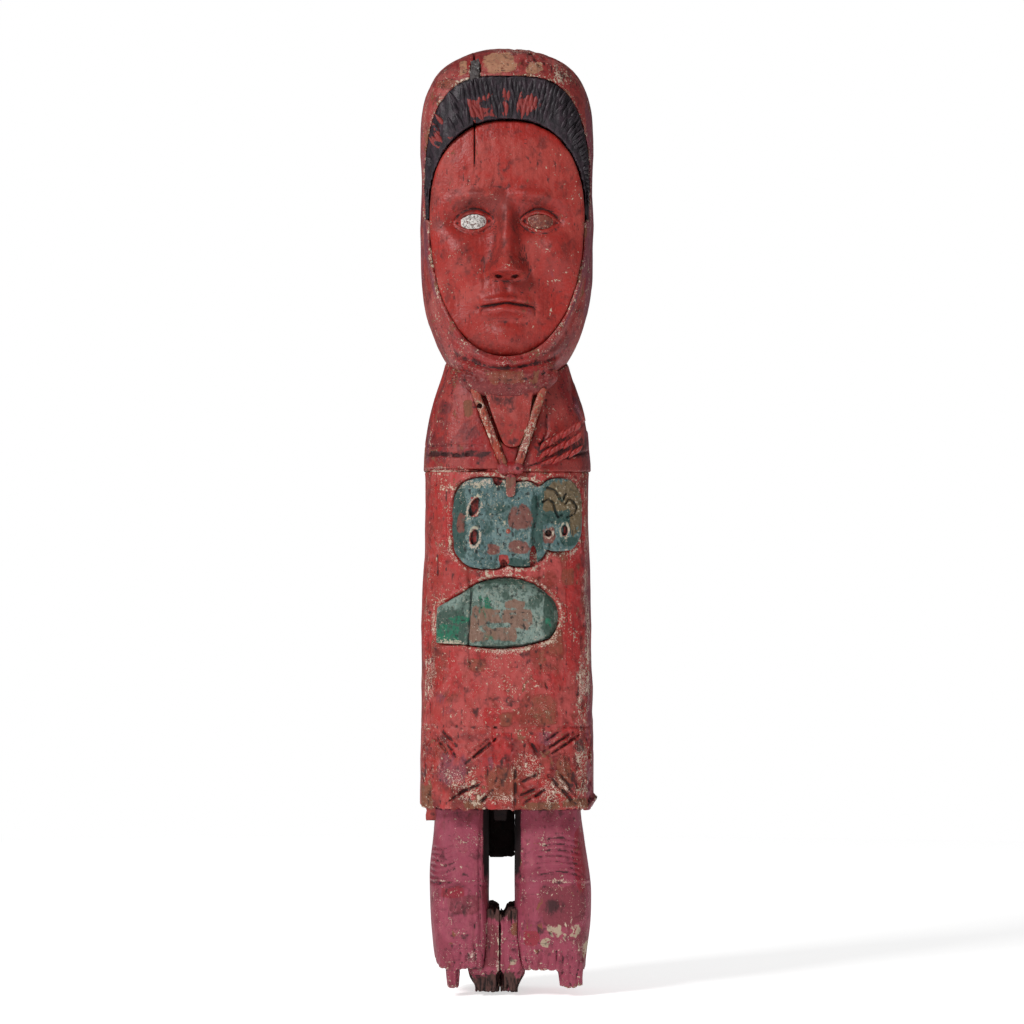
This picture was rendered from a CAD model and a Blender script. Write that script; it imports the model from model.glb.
"""Looks of a carved ancestor figure, built round its CAD frame.

The figure is a squared post carved in the round: a hooded head, a cloak with a collar, a cord that carries
two flat pendants, and two short legs over a split block. Each piece starts from its CAD solid, is carved as
a field of distances in millimetres, and is meshed in metres in the CAD's own frame: +Z up, facing -Y, left
and right as the viewer sees them.
"""

import math
from collections import namedtuple

import bpy
import numpy as np
import openvdb
from bpy.props import FloatProperty, FloatVectorProperty, PointerProperty
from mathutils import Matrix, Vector


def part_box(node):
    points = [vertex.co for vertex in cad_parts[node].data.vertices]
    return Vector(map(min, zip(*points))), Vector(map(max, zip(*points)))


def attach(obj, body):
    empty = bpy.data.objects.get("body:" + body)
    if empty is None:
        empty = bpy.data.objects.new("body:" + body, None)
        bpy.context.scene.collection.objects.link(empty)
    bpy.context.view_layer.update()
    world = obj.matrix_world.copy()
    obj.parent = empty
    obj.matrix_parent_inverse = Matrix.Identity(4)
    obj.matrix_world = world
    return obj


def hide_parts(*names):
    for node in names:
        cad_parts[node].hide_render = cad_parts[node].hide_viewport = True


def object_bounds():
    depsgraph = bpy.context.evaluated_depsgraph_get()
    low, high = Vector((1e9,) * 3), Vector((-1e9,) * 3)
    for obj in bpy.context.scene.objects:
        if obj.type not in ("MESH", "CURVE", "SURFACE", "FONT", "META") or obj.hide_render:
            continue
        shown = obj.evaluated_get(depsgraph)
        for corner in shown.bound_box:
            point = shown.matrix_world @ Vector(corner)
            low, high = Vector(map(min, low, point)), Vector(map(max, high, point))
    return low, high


bl_info = {
    "name": "Carved Ancestor Figure", "version": (1, 0, 0), "blender": (4, 5, 0),
    "location": "View3D > Sidebar > Figure",
    "description": "Builds a painted timber post figure piece by piece", "category": "Add Mesh",
}

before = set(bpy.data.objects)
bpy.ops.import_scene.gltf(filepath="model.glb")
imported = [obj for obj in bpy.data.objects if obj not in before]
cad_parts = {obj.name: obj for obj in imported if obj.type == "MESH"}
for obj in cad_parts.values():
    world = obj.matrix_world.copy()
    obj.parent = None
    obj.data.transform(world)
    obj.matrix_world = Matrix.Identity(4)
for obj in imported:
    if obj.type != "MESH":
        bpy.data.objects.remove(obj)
CAD_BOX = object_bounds()

MM = 0.001  # metres in a millimetre
HEIGHT = CAD_BOX[1].z / MM
BACK_Y = CAD_BOX[1].y / MM
LEG_TOP_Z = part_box("leg_left")[1].z / MM  # inside the cloak
TENON = 42.0  # how far each leg reaches up into the cloak
HEM_Z = LEG_TOP_Z - TENON  # the cloak's lower edge
COLLAR_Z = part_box("cloak_collar")[0].z / MM
CRACK_X = -32.0  # the long drying crack through the hood, the hair and the forehead
SLOT_X = -5.0  # the middle of the slot between the legs


def linear(code):
    """An sRGB hex colour as linear RGB."""
    parts = [int(code[i : i + 2], 16) / 255 for i in (1, 3, 5)]
    return tuple(c / 12.92 if c <= 0.04045 else ((c + 0.055) / 1.055) ** 2.4 for c in parts)


# --- fields: numbers over a cloud of points, in millimetres ---

LATTICE = np.random.default_rng(11).random(32**3, dtype=np.float32) * 2 - 1


def between(cells, parts, value):
    """Blends value(i, j, k) over the eight corners of each cell, by the share of the way across it."""
    total = np.float32(0)
    for corner in range(8):
        steps = [corner >> axis & 1 for axis in range(3)]
        weight = np.float32(1)
        for part, step in zip(parts, steps):
            weight = weight * (part if step else 1 - part)
        total = total + value(*(cell + step for cell, step in zip(cells, steps))) * weight
    return total


def noise(x, y, z, size, seed=0):
    """Smooth noise from -1 to 1, with bumps size mm across: one number, or one for each axis."""
    cells, parts = [], []
    sizes = (size,) * 3 if np.isscalar(size) else size
    for value, step, shift in zip((x, y, z), sizes, (17.31, 5.93, 11.17)):
        scaled = np.asarray(value / step + seed * shift, dtype=np.float32)
        cell = np.floor(scaled)
        part = scaled - cell
        cells.append(cell.astype(np.int32))
        parts.append(part * part * (3 - 2 * part))
    return between(cells, parts, lambda i, j, k: LATTICE[(i & 31) << 10 | (j & 31) << 5 | k & 31])


def ramp(value, low, high):
    """0 below low, 1 above high, and a smooth rise between them."""
    t = np.clip((value - low) / (high - low), 0, 1)
    return t * t * (3 - 2 * t)


def bump(*offsets):
    """A round hill of height 1: each offset is a distance over the hill's radius."""
    return np.exp(-sum(o * o for o in offsets))


def join(a, b, soft):
    """Two solids as one, with a fillet of about soft mm."""
    mix = np.clip(0.5 + 0.5 * (b - a) / soft, 0, 1)
    return b + (a - b) * mix - soft * mix * (1 - mix)


def away(a, b, soft):
    """Solid a with solid b cut away."""
    return -join(-a, b, soft)


def along(x, z, points):
    """Distance in the XZ plane from a run of straight lines, and the share of the way along it."""
    best, share = np.full_like(x, 1e6), np.zeros_like(x)
    lengths = [math.dist(a, b) for a, b in zip(points, points[1:])]
    done = 0.0
    for (x0, z0), (x1, z1), length in zip(points, points[1:], lengths):
        t = np.clip(((x - x0) * (x1 - x0) + (z - z0) * (z1 - z0)) / length**2, 0, 1)
        d = np.hypot(x - x0 - t * (x1 - x0), z - z0 - t * (z1 - z0))
        share = np.where(d < best, (done + t * length) / sum(lengths), share)
        best = np.minimum(best, d)
        done += length
    return best, share


def gouge(d, width, depth):
    """Depth of a V cut at distance d from its middle line."""
    return depth * np.clip(1 - d / width, 0, 1)


def oval(x, z, cx, cz, rx, rz, power=2.0, turn=0.0):
    """About the distance in mm from an oval outline, negative inside."""
    c, s = math.cos(turn), math.sin(turn)
    u, v = (x - cx) * c + (z - cz) * s, (z - cz) * c - (x - cx) * s
    return ((np.abs(u / rx) ** power + np.abs(v / rz) ** power) ** (1 / power) - 1) * min(rx, rz)


def facets(u, v, size_u, size_v, seed):
    """Shallow scoops of an adze: 0 at the middle of each scoop and about 1 at the ridges between them."""
    best = np.full_like(u, 9.0)
    cell_u, cell_v = np.floor(u / size_u), np.floor(v / size_v)
    for du in (-1, 0, 1):
        for dv in (-1, 0, 1):
            iu, iv = cell_u + du, cell_v + dv
            index = (iu.astype(np.int32) * 13 + iv.astype(np.int32) * 101 + seed * 7) & 32767
            jitter_u, jitter_v = LATTICE[index] * 0.35, LATTICE[(index * 5 + 3) & 32767] * 0.35
            distance = (u / size_u - iu - 0.5 - jitter_u) ** 2 + (v / size_v - iv - 0.5 - jitter_v) ** 2
            best = np.minimum(best, distance)
    return best * 2


def cad_field(node, pitch=2.0, reach=14.0):
    """A function of x, y, z that gives the distance from a CAD node's surface, negative inside."""
    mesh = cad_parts[node].data
    mesh.calc_loop_triangles()
    points = np.empty(len(mesh.vertices) * 3, np.float32)
    mesh.vertices.foreach_get("co", points)
    points = points.reshape(-1, 3) / MM
    corners = np.empty(len(mesh.loop_triangles) * 3, np.int32)
    mesh.loop_triangles.foreach_get("vertices", corners)
    low = points.min(0) - reach
    size = np.ceil((points.max(0) + reach - low) / pitch).astype(int) + 1
    grid = openvdb.FloatGrid.createLevelSetFromPolygons(
        (points - low) / pitch, triangles=corners.reshape(-1, 3).astype(np.uint32), halfWidth=reach / pitch
    )
    values = np.full(size, reach / pitch, np.float32)
    grid.copyToArray(values)
    values *= pitch

    def distance(x, y, z):
        cells, parts = [], []
        for value, start, count in zip((x, y, z), low, size):
            place = np.clip((value - start) / pitch, 0, count - 1.001)
            cells.append(place.astype(np.int32))
            parts.append((place - cells[-1]).astype(np.float32))
        return between(cells, parts, lambda i, j, k: values[i, j, k])

    return distance


# --- meshing ---

SPREAD_Y = -26.0  # behind this the mesh grows coarser, towards the plain back
COARSE = 4  # the first, coarse pass looks at every fourth sample
BATCH = 400000  # samples worked out in one call of a field
PROBE = 0.4  # mm to the side at which a field's slope is read


class Lattice:
    """Sample places in a box: pitch mm apart at the front and spread times that at the back."""

    def __init__(self, low, high, pitch, spread):
        self.pitch, self.spread = pitch, spread
        self.middle = [(low[i] + high[i]) / 2 for i in range(3)]
        levels = [low[1]]
        while levels[-1] < high[1]:
            levels.append(levels[-1] + pitch * self.growth(levels[-1]))
        self.levels = np.array(levels, np.float32)
        self.counts = [
            math.ceil((high[0] - low[0]) / pitch), len(levels), math.ceil((high[2] - low[2]) / pitch)
        ]
        self.counts = [math.ceil(n / COARSE) * COARSE for n in self.counts]

    def growth(self, y):
        return 1 + (self.spread - 1) * np.clip((y - SPREAD_Y) / (BACK_Y - SPREAD_Y), 0, 1)

    def place(self, i, j, k):
        """The point at three lattice numbers, which may be fractions."""
        step = self.levels[-1] - self.levels[-2]
        last = len(self.levels) - 1
        y = np.interp(j, np.arange(last + 1), self.levels) + np.maximum(j - last, 0) * step
        reach = self.pitch * self.growth(y)
        x = self.middle[0] + (i - (self.counts[0] - 1) / 2) * reach
        z = self.middle[2] + (k - (self.counts[2] - 1) / 2) * reach
        return [np.asarray(v, np.float32) for v in (x, y, z)]


def blurred(values, radius):
    """The mean over a cube of 2 * radius + 1 samples."""
    for axis in range(3):
        pad = [(0, 0)] * 3
        pad[axis] = (radius + 1, radius)
        sums = np.cumsum(np.pad(values, pad, mode="edge"), axis=axis, dtype=np.float64)
        count = values.shape[axis]
        ahead = np.take(sums, range(2 * radius + 1, 2 * radius + 1 + count), axis=axis)
        behind = np.take(sums, range(count), axis=axis)
        values = ((ahead - behind) / (2 * radius + 1)).astype(np.float32)
    return values


def largest_island(points, quads):
    """Drops loose crumbs: only the largest connected part of the mesh stays."""
    label = np.arange(len(points))
    while True:
        lowest = label[quads].min(axis=1)
        new = label.copy()
        for corner in range(4):
            np.minimum.at(new, quads[:, corner], lowest)
        new = new[new]
        if (new == label).all():
            break
        label = new
    names, sizes = np.unique(label, return_counts=True)
    keep = label == names[sizes.argmax()]
    number = np.cumsum(keep) - 1
    return keep, number[quads[keep[quads[:, 0]]]]


def sculpt(field, low, high, pitch, spread=1.0):
    """Meshes the solid where field is negative.

    Returns points in mm, quads, and the share of solid in a small and in a broad cube round each point.
    """
    grid = Lattice(low, high, pitch, spread)
    coarse_counts = [n // COARSE + 1 for n in grid.counts]
    i, j, k = (a.ravel() * COARSE for a in np.meshgrid(*map(np.arange, coarse_counts), indexing="ij"))
    x, y, z = grid.place(i.astype(np.float32), j.astype(np.float32), k.astype(np.float32))
    coarse = field(x, y, z).reshape(coarse_counts)
    limit = (1.6 * COARSE * pitch * grid.growth(y)).reshape(coarse_counts)
    close = np.abs(coarse) < limit
    near = np.zeros([n - 1 for n in coarse_counts], bool)
    for corner in range(8):
        a, b, c = corner & 1, corner >> 1 & 1, corner >> 2
        near |= close[a : a + near.shape[0], b : b + near.shape[1], c : c + near.shape[2]]
    values = np.where(coarse[:-1, :-1, :-1] < 0, -1, 1).astype(np.float32) * 3 * pitch
    for axis in range(3):
        near, values = near.repeat(COARSE, axis), values.repeat(COARSE, axis)
    found = np.nonzero(near)
    for start in range(0, len(found[0]), BATCH):
        part = tuple(f[start : start + BATCH] for f in found)
        values[part] = field(*grid.place(*(p.astype(np.float32) for p in part)))
    background = 3 * pitch * spread
    vdb = openvdb.FloatGrid(background=background)
    vdb.copyFromArray(np.clip(values, -background, background))
    places, quads = vdb.convertToQuads(isovalue=0.0)
    keep, quads = largest_island(places, quads.astype(np.int64))
    places = places[keep]
    solid = (values < 0).astype(np.float32)
    cells = tuple(np.clip(np.rint(places[:, a]).astype(int), 0, grid.counts[a] - 1) for a in range(3))
    fill = [blurred(solid, radius)[cells] for radius in (2, 7)]
    points = np.stack(grid.place(*places.T), axis=1)
    points = settle(field, points, pitch * grid.growth(points[:, 1]))
    return points, quads, fill


def settle(field, points, step):
    """Moves mesh points on to the surface of the field."""
    here = field(*points.T)
    shifts = np.eye(3, dtype=np.float32) * PROBE
    slope = np.stack([field(*(points + shift).T) - here for shift in shifts], axis=1) / PROBE
    move = -here / np.maximum((slope**2).sum(1), 0.25)
    offset = slope * move[:, None]
    length = np.linalg.norm(offset, axis=1)
    offset *= np.minimum(1, 0.45 * step / np.maximum(length, 1e-6))[:, None]
    return points + offset


def new_piece(name, points, faces, material, attributes=()):
    """A mesh object from points in mm and faces of one size, with a value at each point for the paint."""
    points, faces = np.asarray(points, np.float32), np.asarray(faces, np.int32)
    mesh = bpy.data.meshes.new(name)
    mesh.vertices.add(len(points))
    mesh.vertices.foreach_set("co", (points * MM).ravel())
    mesh.loops.add(faces.size)
    mesh.loops.foreach_set("vertex_index", faces.ravel())
    mesh.polygons.add(len(faces))
    mesh.polygons.foreach_set("loop_start", np.arange(len(faces), dtype=np.int32) * faces.shape[1])
    mesh.update(calc_edges=True)
    for key, values in dict(attributes).items():
        mesh.attributes.new(key, "FLOAT", "POINT").data.foreach_set("value", np.asarray(values, np.float32))
    mesh.shade_smooth()
    mesh.materials.append(material)
    piece = bpy.data.objects.new(name, mesh)
    bpy.context.scene.collection.objects.link(piece)
    return piece


def patches(points, marks, soft=0.25):
    """1 inside any of the squarish marks (x, z, half width, half height) on the front, and 0 outside."""
    x, y, z = points.T
    wobble_x, wobble_z = noise(x, y, z, 9.0, 3) * 2.0, noise(x, y, z, 9.0, 4) * 2.0
    best = np.zeros(len(points), np.float32)
    for cx, cz, rx, rz in marks:
        u, v = np.abs(x + wobble_x - cx) / rx, np.abs(z + wobble_z - cz) / rz
        best = np.maximum(best, 1 - ramp((u**4 + v**4) ** 0.25, 1 - soft, 1 + soft))
    return best * ramp(-y, 0, 20)


def carved(name, node, material, detail=None, field=None, pitch=1.2, spread=1.0, marks=(), margin=6.0):
    """Meshes a piece and stands it in a CAD node's place.

    The shape is the node's own solid, carved by detail(x, y, z, distance), or else field(x, y, z) alone.
    """
    if field is None:
        base = cad_field(node)

        def field(x, y, z):
            return detail(x, y, z, base(x, y, z))

    low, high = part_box(node)
    low = [c / MM - margin for c in low]
    high = [c / MM + margin for c in high]
    points, quads, (fine, broad) = sculpt(field, low, high, pitch, spread)
    attributes = {
        "edge": np.clip((0.5 - fine) * 4, 0, 1), "crease": np.clip((fine - 0.5) * 4, 0, 1),
        "hollow": np.clip((broad - 0.5) * 3, 0, 1), "flank": ramp(points[:, 0], 72, 82),
        "back": ramp(points[:, 1], 62, 84),
    }
    for key, mark in dict(marks).items():
        attributes[key] = mark(*points.T) if callable(mark) else patches(points, mark)
    piece = new_piece(name, points, quads, material, attributes)
    place(piece, node)
    return piece


def place(piece, node, stands_for=True):
    """Hands a piece to the frame and the CAD node that it stands for or goes with."""
    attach(piece, "root")
    if stands_for:
        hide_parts(node)


# --- paint and timber ---

Coat = namedtuple(
    "Coat", "colour size edge soft weights stretch strength lift rough cluster",
    defaults=({}, 1.0, 1.0, 0.0, None, (60.0, 0.0)),
)
# colour   sRGB hex of the paint, primer, timber or dirt
# size     mm between its patches, which are stretch times as tall
# edge     how much noise and weighted marks it takes to show, and soft, how blurred its border is
# weights  how strongly each painted mark of the mesh brings it out
# lift     its thickness in mm: negative where paint has flaked off
# rough    its roughness, or None to keep what lies below
# cluster  a broad noise (mm, weight) that gathers the patches


def add(tree, kind, inputs=(), **settings):
    """Adds a node, sets its properties, and gives its inputs values or links."""
    node = tree.nodes.new(kind)
    for key, value in settings.items():
        setattr(node, key, value)
    for key, value in dict(inputs).items():
        if isinstance(value, bpy.types.NodeSocket):
            tree.links.new(value, node.inputs[key])
        else:
            node.inputs[key].default_value = value
    return node


def painted(name, ground, coats, rough=0.36, grain=0.15, crust=0.7):
    """A timber surface under coats of old paint; grain and crust are mm of relief in its lines and lumps."""
    material = bpy.data.materials.new(name)
    material.use_nodes = True
    tree = material.node_tree
    tree.nodes.clear()
    position = add(tree, "ShaderNodeTexCoord").outputs["Object"]
    marks = {}
    colour, roughness, height = (*ground, 1.0), rough, 0.0
    for number, coat in enumerate(coats):
        scale = 1 / (coat.size * MM)
        spot = add(
            tree, "ShaderNodeMapping",
            {
                "Vector": position, "Location": (number * 3.7, number * 1.9, number * 5.3),
                "Scale": (scale, scale, scale / coat.stretch),
            },
        )
        level = add(
            tree, "ShaderNodeTexNoise",
            {"Vector": spot.outputs[0], "Scale": 1.0, "Detail": 4.0, "Roughness": 0.6, "Distortion": 0.4},
        ).outputs["Fac"]
        if coat.cluster[1]:
            broad = add(
                tree, "ShaderNodeTexNoise",
                {"Vector": position, "Scale": 1 / (coat.cluster[0] * MM), "Detail": 2.0, "Distortion": 0.5},
                noise_dimensions="4D",
            )
            broad.inputs["W"].default_value = number * 2.3
            pull = add(
                tree, "ShaderNodeMath", {0: broad.outputs["Fac"], 1: 0.5}, operation="SUBTRACT"
            ).outputs[0]
            pulled = {0: pull, 1: coat.cluster[1], 2: level}
            level = add(tree, "ShaderNodeMath", pulled, operation="MULTIPLY_ADD").outputs[0]
        for mark, weight in coat.weights.items():
            if mark not in marks:
                marks[mark] = add(tree, "ShaderNodeAttribute", attribute_name=mark).outputs["Fac"]
            weighted = {0: marks[mark], 1: weight, 2: level}
            level = add(tree, "ShaderNodeMath", weighted, operation="MULTIPLY_ADD").outputs[0]
        window = {
            "Value": level, "From Min": coat.edge - coat.soft, "From Max": coat.edge + coat.soft,
            "To Max": coat.strength,
        }
        mask = add(tree, "ShaderNodeMapRange", window, interpolation_type="SMOOTHSTEP").outputs[0]
        layer = {"Factor": mask, 6: colour, 7: (*linear(coat.colour), 1.0)}
        colour = add(tree, "ShaderNodeMix", layer, data_type="RGBA").outputs[2]
        if coat.rough is not None:
            gloss = {"Factor": mask, 2: roughness, 3: coat.rough}
            roughness = add(tree, "ShaderNodeMix", gloss, data_type="FLOAT").outputs[0]
        if coat.lift:
            thickness = {0: mask, 1: coat.lift, 2: height}
            height = add(tree, "ShaderNodeMath", thickness, operation="MULTIPLY_ADD").outputs[0]
    # grain lines 1.6 mm apart and 22 mm long
    strokes = add(
        tree, "ShaderNodeMapping",
        {"Vector": position, "Scale": (1 / (1.6 * MM), 1 / (1.6 * MM), 1 / (22 * MM))},
    )
    lines = add(tree, "ShaderNodeTexNoise", {"Vector": strokes.outputs[0], "Scale": 1.0, "Detail": 3.0})
    raised = {0: lines.outputs["Fac"], 1: grain, 2: height}
    height = add(tree, "ShaderNodeMath", raised, operation="MULTIPLY_ADD").outputs[0]
    # old paint is lumpy, and shrinks into a fine net of cracks
    lumps = {"Vector": position, "Scale": 1 / (3.4 * MM), "Detail": 3.0, "Roughness": 0.65}
    lumpy = {0: add(tree, "ShaderNodeTexNoise", lumps).outputs["Fac"], 1: crust, 2: height}
    height = add(tree, "ShaderNodeMath", lumpy, operation="MULTIPLY_ADD").outputs[0]
    relief = add(tree, "ShaderNodeBump", {"Height": height, "Distance": MM, "Strength": 1.0})
    shader = add(
        tree, "ShaderNodeBsdfPrincipled",
        {
            "Base Color": colour, "Roughness": roughness, "Normal": relief.outputs[0],
            "Specular IOR Level": 0.36,
        },
    )
    add(tree, "ShaderNodeOutputMaterial", {"Surface": shader.outputs[0]})
    return material


# What all the painted parts have: grime in the cuts, and primer and timber where edges are knocked off.
PRIMER = "#c4ae99"
TIMBER = "#7a4632"
GRIME = "#2a1718"


def wear(primer=1.0, timber=1.0, grime=1.0, pale=PRIMER, wood=TIMBER):
    """The top coats of a painted part, from chips of paint to dirt; the arguments scale how much shows."""
    return [
        # rubbed edges, down to brown timber, rough and a little below the paint
        Coat(
            wood, 14.0, 0.74 - 0.05 * timber, 0.02, {"edge": 0.16, "bare": 0.38, "back": 0.3},
            1.6, 1.0, -0.25, 0.72, (70.0, 0.3),
        ),
        # grain of the timber where it is bare
        Coat("#5d3f2c", 3.0, 0.75, 0.08, {"bare": 0.16, "back": 0.25}, 16.0, 0.5, -0.1, 0.8),
        # pale primer in small flakes along the edges and the cuts
        Coat(
            pale, 4.0, 0.79 - 0.05 * primer, 0.015, {"edge": 0.12, "chalk": 0.075},
            1.2, 1.0, 0.25, 0.5, (30.0, 0.5),
        ),
        Coat(
            pale, 1.7, 0.75 - 0.05 * primer, 0.015, {"edge": 0.12, "chalk": 0.1},
            1.2, 0.95, 0.2, 0.5, (22.0, 0.5),
        ),
        Coat(
            "#e2cbbb", 1.0, 0.785 - 0.05 * primer, 0.015, {"edge": 0.1, "chalk": 0.1},
            1.0, 0.95, 0.15, 0.4, (26.0, 0.5),
        ),
        # dark grime that has gathered in creases and hollows
        Coat(
            GRIME, 7.0, 0.86 - 0.06 * grime, 0.12, {"crease": 0.6, "hollow": 0.25, "soot": 0.28},
            1.5, 0.85, 0.0, 0.7,
        ),
        Coat("#0c0607", 9.0, 0.7, 0.2, {"inside": 1.0}, 1.0, 0.97, 0.0, 0.9),
        # fly spots and pitting
        Coat(
            GRIME, 2.6, 0.79 - 0.05 * grime, 0.02, {"crease": 0.1, "soot": 0.08},
            1.0, 0.8, -0.1, 0.7, (25.0, 0.35),
        ),
    ]


def red_paint(name, ground, bright, dull, pink, primer=1.0, timber=1.0, grime=1.0):
    """Linseed-oil paint in red oxide, brushed on many times: satin, uneven, and patched with other reds."""
    return painted(
        name, ground,
        [
            Coat(pink, 34.0, 0.52, 0.1, {"dusty": 0.35}, 1.5, 0.8, 0.0, 0.55, (90.0, 0.4)),
            Coat(dull, 26.0, 0.58, 0.05, {"brown": 0.5}, 1.3, 0.9, 0.0, 0.5, (80.0, 0.4)),
            Coat(bright, 20.0, 0.58, 0.05, {"crimson": 0.45}, 1.8, 0.85, 0.05, 0.38, (70.0, 0.4)),
            Coat("#a8785c", 9.0, 0.78, 0.05, {"tan": 0.42}, 1.5, 0.95, -0.15, 0.65),
            Coat("#64191a", 12.0, 0.78, 0.14, {"shade": 0.6}, 1.0, 0.8, 0.0, None),
            Coat("#7f3f2c", 9.0, 0.77, 0.04, {"brown": 0.4}, 1.5, 0.85, 0.0, 0.5),
            Coat(
                "#6e3848", 18.0, 0.78, 0.08, {"flank": 0.36, "mauve": 0.3}, 2.0, 0.7, 0.0, 0.55, (50.0, 0.5)
            ),
            Coat(dull, 5.0, 0.56, 0.08, {}, 3.0, 0.3, 0.0, None),
            Coat(pink, 2.4, 0.6, 0.06, {"dusty": 0.1}, 1.0, 0.35, 0.0, 0.6, (40.0, 0.5)),
            *wear(primer, timber, grime),
        ],
    )


# --- the hood and what sits in it ---


def timber_movement(x, y, z):
    """What age does to any carved face: a slow waviness and fine raised grain."""
    return noise(x, y, z, (24.0, 24.0, 34.0), 1) * 0.7 + noise(x, y, z, (3.2, 3.2, 42.0), 2) * 0.22


def adzed_back(x, y, z):
    """Scoops across the plain back, and longer ones down the sides."""
    at_back = ramp(y, 70, 80)
    at_side = ramp(np.abs(x), 70, 80) * ramp(y, -42, -20) * (1 - at_back)
    scoops = (1 - facets(x, z, 24.0, 38.0, 1)) * 1.8 * at_back
    return scoops + (1 - facets(y, z, 21.0, 60.0, 2)) * 1.1 * at_side


def drying_crack(x, y, z, low, high, width, depth):
    """The long check in the timber, which wanders as it follows the grain."""
    middle = CRACK_X + noise(z, z * 0, z * 0, 26.0, 5) * 1.8
    reach = ramp(z, low, low + 18) * (1 - ramp(z, high - 6, high))
    half = width * (0.6 + 0.4 * noise(x * 0, x * 0, z, 9.0, 6)) * reach
    return depth * (1 - ramp(np.abs(x - middle), half * 0.5, half + 0.6)) * reach


def hood_rim(x, y, z):
    """1 on the worn lip round the face, below the hair."""
    return bump((face_outline(x, z) - 4) / 2.5) * (1 - ramp(z, 780, 810)) * ramp(-y, 0, 20)


def hood_flanks(x, y, z):
    """1 towards the sides of the hood."""
    return ramp(np.abs(x + noise(x, y, z, 12.0, 3) * 3), 76, 84)


HOOD_MARKS = {
    "tan": [(-8, 926, 17, 11), (-43, 922, 4, 8), (28, 921, 9, 6)],
    "brown": [(-2, 614, 19, 7), (-60, 905, 12, 5)], "shade": lambda x, y,
    z: (1 - ramp(z, 592, 646)) * ramp(-y, 0, 20),
    "crimson": [(50, 607, 14, 10), (0, 606, 56, 20), (0, 628, 50, 8)], "mauve": lambda x, y,
    z: np.maximum(hood_rim(x, y, z), hood_flanks(x, y, z)) * ramp(z, 640, 680),
    "chalk": [(56, 917, 9, 12), (5, 938, 20, 4), (-16, 908, 40, 2)], "dusty": [(-74, 850, 14, 70)],
}


def chin_roll(x, y, z):
    """The thick roll of cloth under the chin, which overhangs the collar."""
    reach = ((x - 1) / 50) ** 2 + ((y + 54) / 15) ** 2 + ((z - 617) / 25) ** 2
    return np.maximum((np.sqrt(reach) - 1) * 15, 5 - face_outline(x, z))


def hood_detail(x, y, z, d):
    front = ramp(-y, 0, 30)
    d = join(d, chin_roll(x, y, z), 6.0)
    d = d + timber_movement(x, y, z) + adzed_back(x, y, z)
    # the roll of cloth below the chin: two soft folds that follow the jaw
    for drop, depth, width in ((16.0, 2.2, 5.0), (27.0, 1.4, 3.5)):
        fold = 638 - drop + 0.006 * x * x + noise(x, y, z, 22.0, 7) * 1.5
        d = d + gouge(np.abs(z - fold), width, depth) * front * ramp(60 - np.abs(x), 0, 14)
    # axe-cut flats across the brow of the hood
    for cx, width in ((-44.0, 5.0), (-8.0, 17.0), (33.0, 12.0)):
        cut = (1 - ramp(np.abs(x - cx), width, width + 1.5)) * (1 - ramp(np.abs(z - 926), 9, 12))
        d = d + 1.3 * cut * front
    d = d + drying_crack(x, y, z, 860, HEIGHT + 5, 1.0, 6.0) * ramp(-y, 10, 30)
    # the skyline at the right is chipped along the grain
    chips = ramp(noise(x, y, z, (5.0, 9.0, 9.0), 8), 0.1, 0.5) * ramp(
        z, HEIGHT - 36, HEIGHT - 14
    ) * ramp(x, 2, 16)
    d = d + 2.4 * chips
    # a rounded lip round the opening, with a groove behind it
    lip = face_outline(x, z)
    low = 1 - ramp(z, 780, 810)
    d = d - 1.6 * bump((lip - 3.5) / 2.2) * front * low
    d = d + 1.2 * bump((lip - 8.0) / 1.8) * front * low
    # knocks along the rim of the face opening
    rim = ramp(noise(x, y, z, 7.0, 9), 0.35, 0.6) * ramp(-y, 48, 58)
    return d + 0.7 * rim


FACE_Z, FACE_HALF_X, FACE_HALF_Z, FACE_TAPER, FACE_POWER = 752.0, 76.0, 117.0, 0.12, 2.3


def face_outline(x, z):
    """About the distance from the edge of the face, negative inside."""
    rise = (z - FACE_Z) / FACE_HALF_Z
    half_x = FACE_HALF_X * (1 + FACE_TAPER * np.clip(rise, -1, 1))
    return (
        (np.abs(x / half_x) ** FACE_POWER + np.abs(rise) ** FACE_POWER) ** (1 / FACE_POWER) - 1
    ) * FACE_HALF_X


def hair_detail(x, y, z, d):
    """A soft roll, a little deeper along its two edges, under the separate locks."""
    inner = face_outline(x, z)
    roll = 1.2 * (1 - ramp(inner, 0, 9)) + 1.5 * ramp(inner, 26, 40)
    d = d + roll + noise(x, y, z, (4.0, 4.0, 12.0), 12) * 0.7
    return d + drying_crack(x, y, z, 850, 960, 1.2, 6.0)


FACE_MARKS = {"dusty": [(0, 830, 30, 20)]}
EYE_X, EYE_Z, EYE_HALF, EYE_RISE = 33.0, 768.0, 17.0, 7.5
BROW_Z, NOSE_BASE_Z, MOUTH_Z, CHIN_Z = 792.0, 714.0, 686.0, 652.0
EYEBALL_RADIUS, EYEBALL_Y = 19.0, -36.5


def lid_gap(side, z):
    """Height above or below the almond of the eye, at distance side from the eye's middle."""
    half = EYE_RISE * (1 - np.clip(np.abs(side) / EYE_HALF, 0, 1.2) ** 2)
    return np.abs(z - EYE_Z + 0.06 * side) - half


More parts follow.
